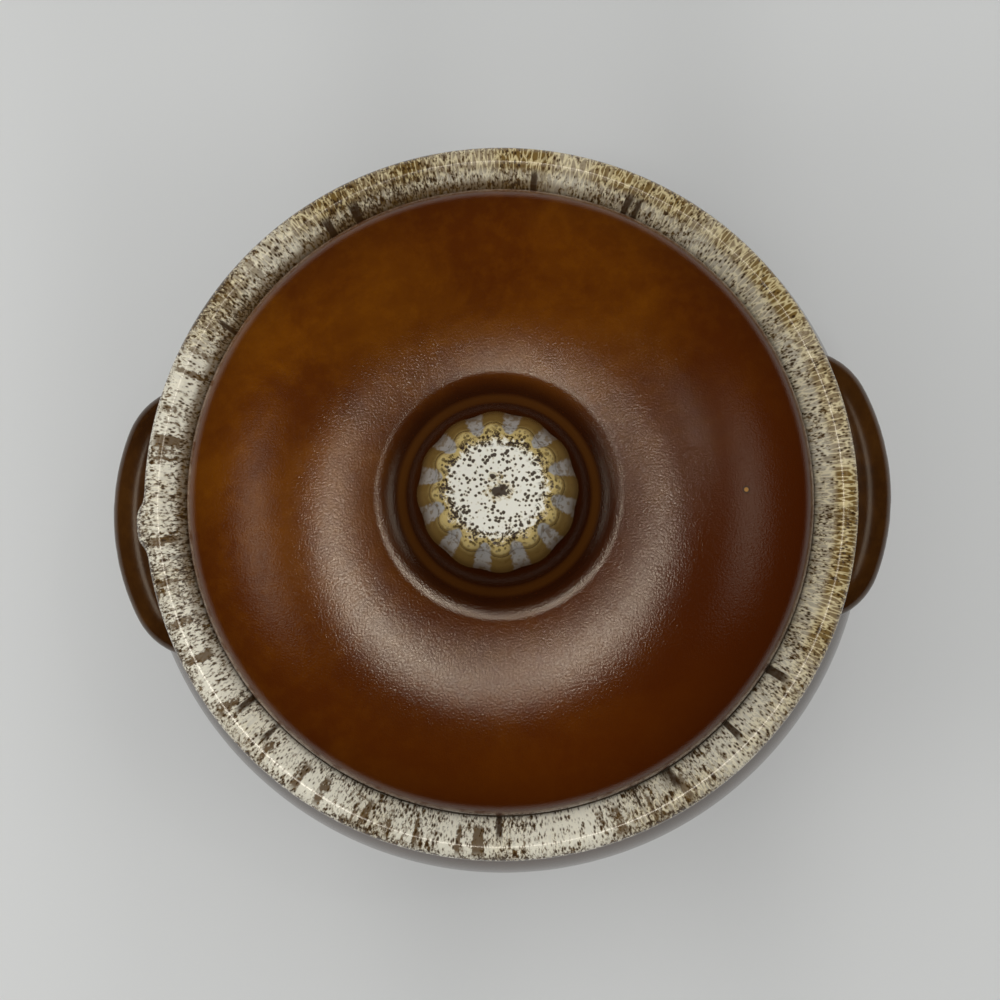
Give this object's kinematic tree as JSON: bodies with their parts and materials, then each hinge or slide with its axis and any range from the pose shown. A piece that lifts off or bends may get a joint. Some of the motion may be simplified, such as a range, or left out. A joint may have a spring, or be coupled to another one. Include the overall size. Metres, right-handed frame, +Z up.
{
  "type": "bean pot",
  "caption": "Round-bellied stoneware bean pot with lug handles, an ivory drip-glazed lip, and a domed lid with a fluted knob that lifts off.",
  "frame": {"origin": "centre of the foot ring, on the surface that the pot stands on", "axes": "+Z up along the pot's axis, +X towards the right handle, +Y away from the viewer at the front"},
  "size_m": [0.215, 0.213, 0.1599],
  "materials": {
    "brown_glaze": "satin gloss brown glaze",
    "ivory_glaze": "glossy ivory drip glaze"
  },
  "bodies": {
    "pot": {"pot_body": "brown_glaze", "left_handle": "brown_glaze", "right_handle": "brown_glaze", "rim_glaze": "ivory_glaze"},
    "lid": {"lid": "brown_glaze", "knob": "brown_glaze", "knob_glaze": "ivory_glaze"}
  },
  "joints": [
    {"name": "lid_lift", "type": "slide", "parent": "pot", "child": "lid", "axis": [0, 0, 1], "range_m": [0, 0.12]}
  ]
}
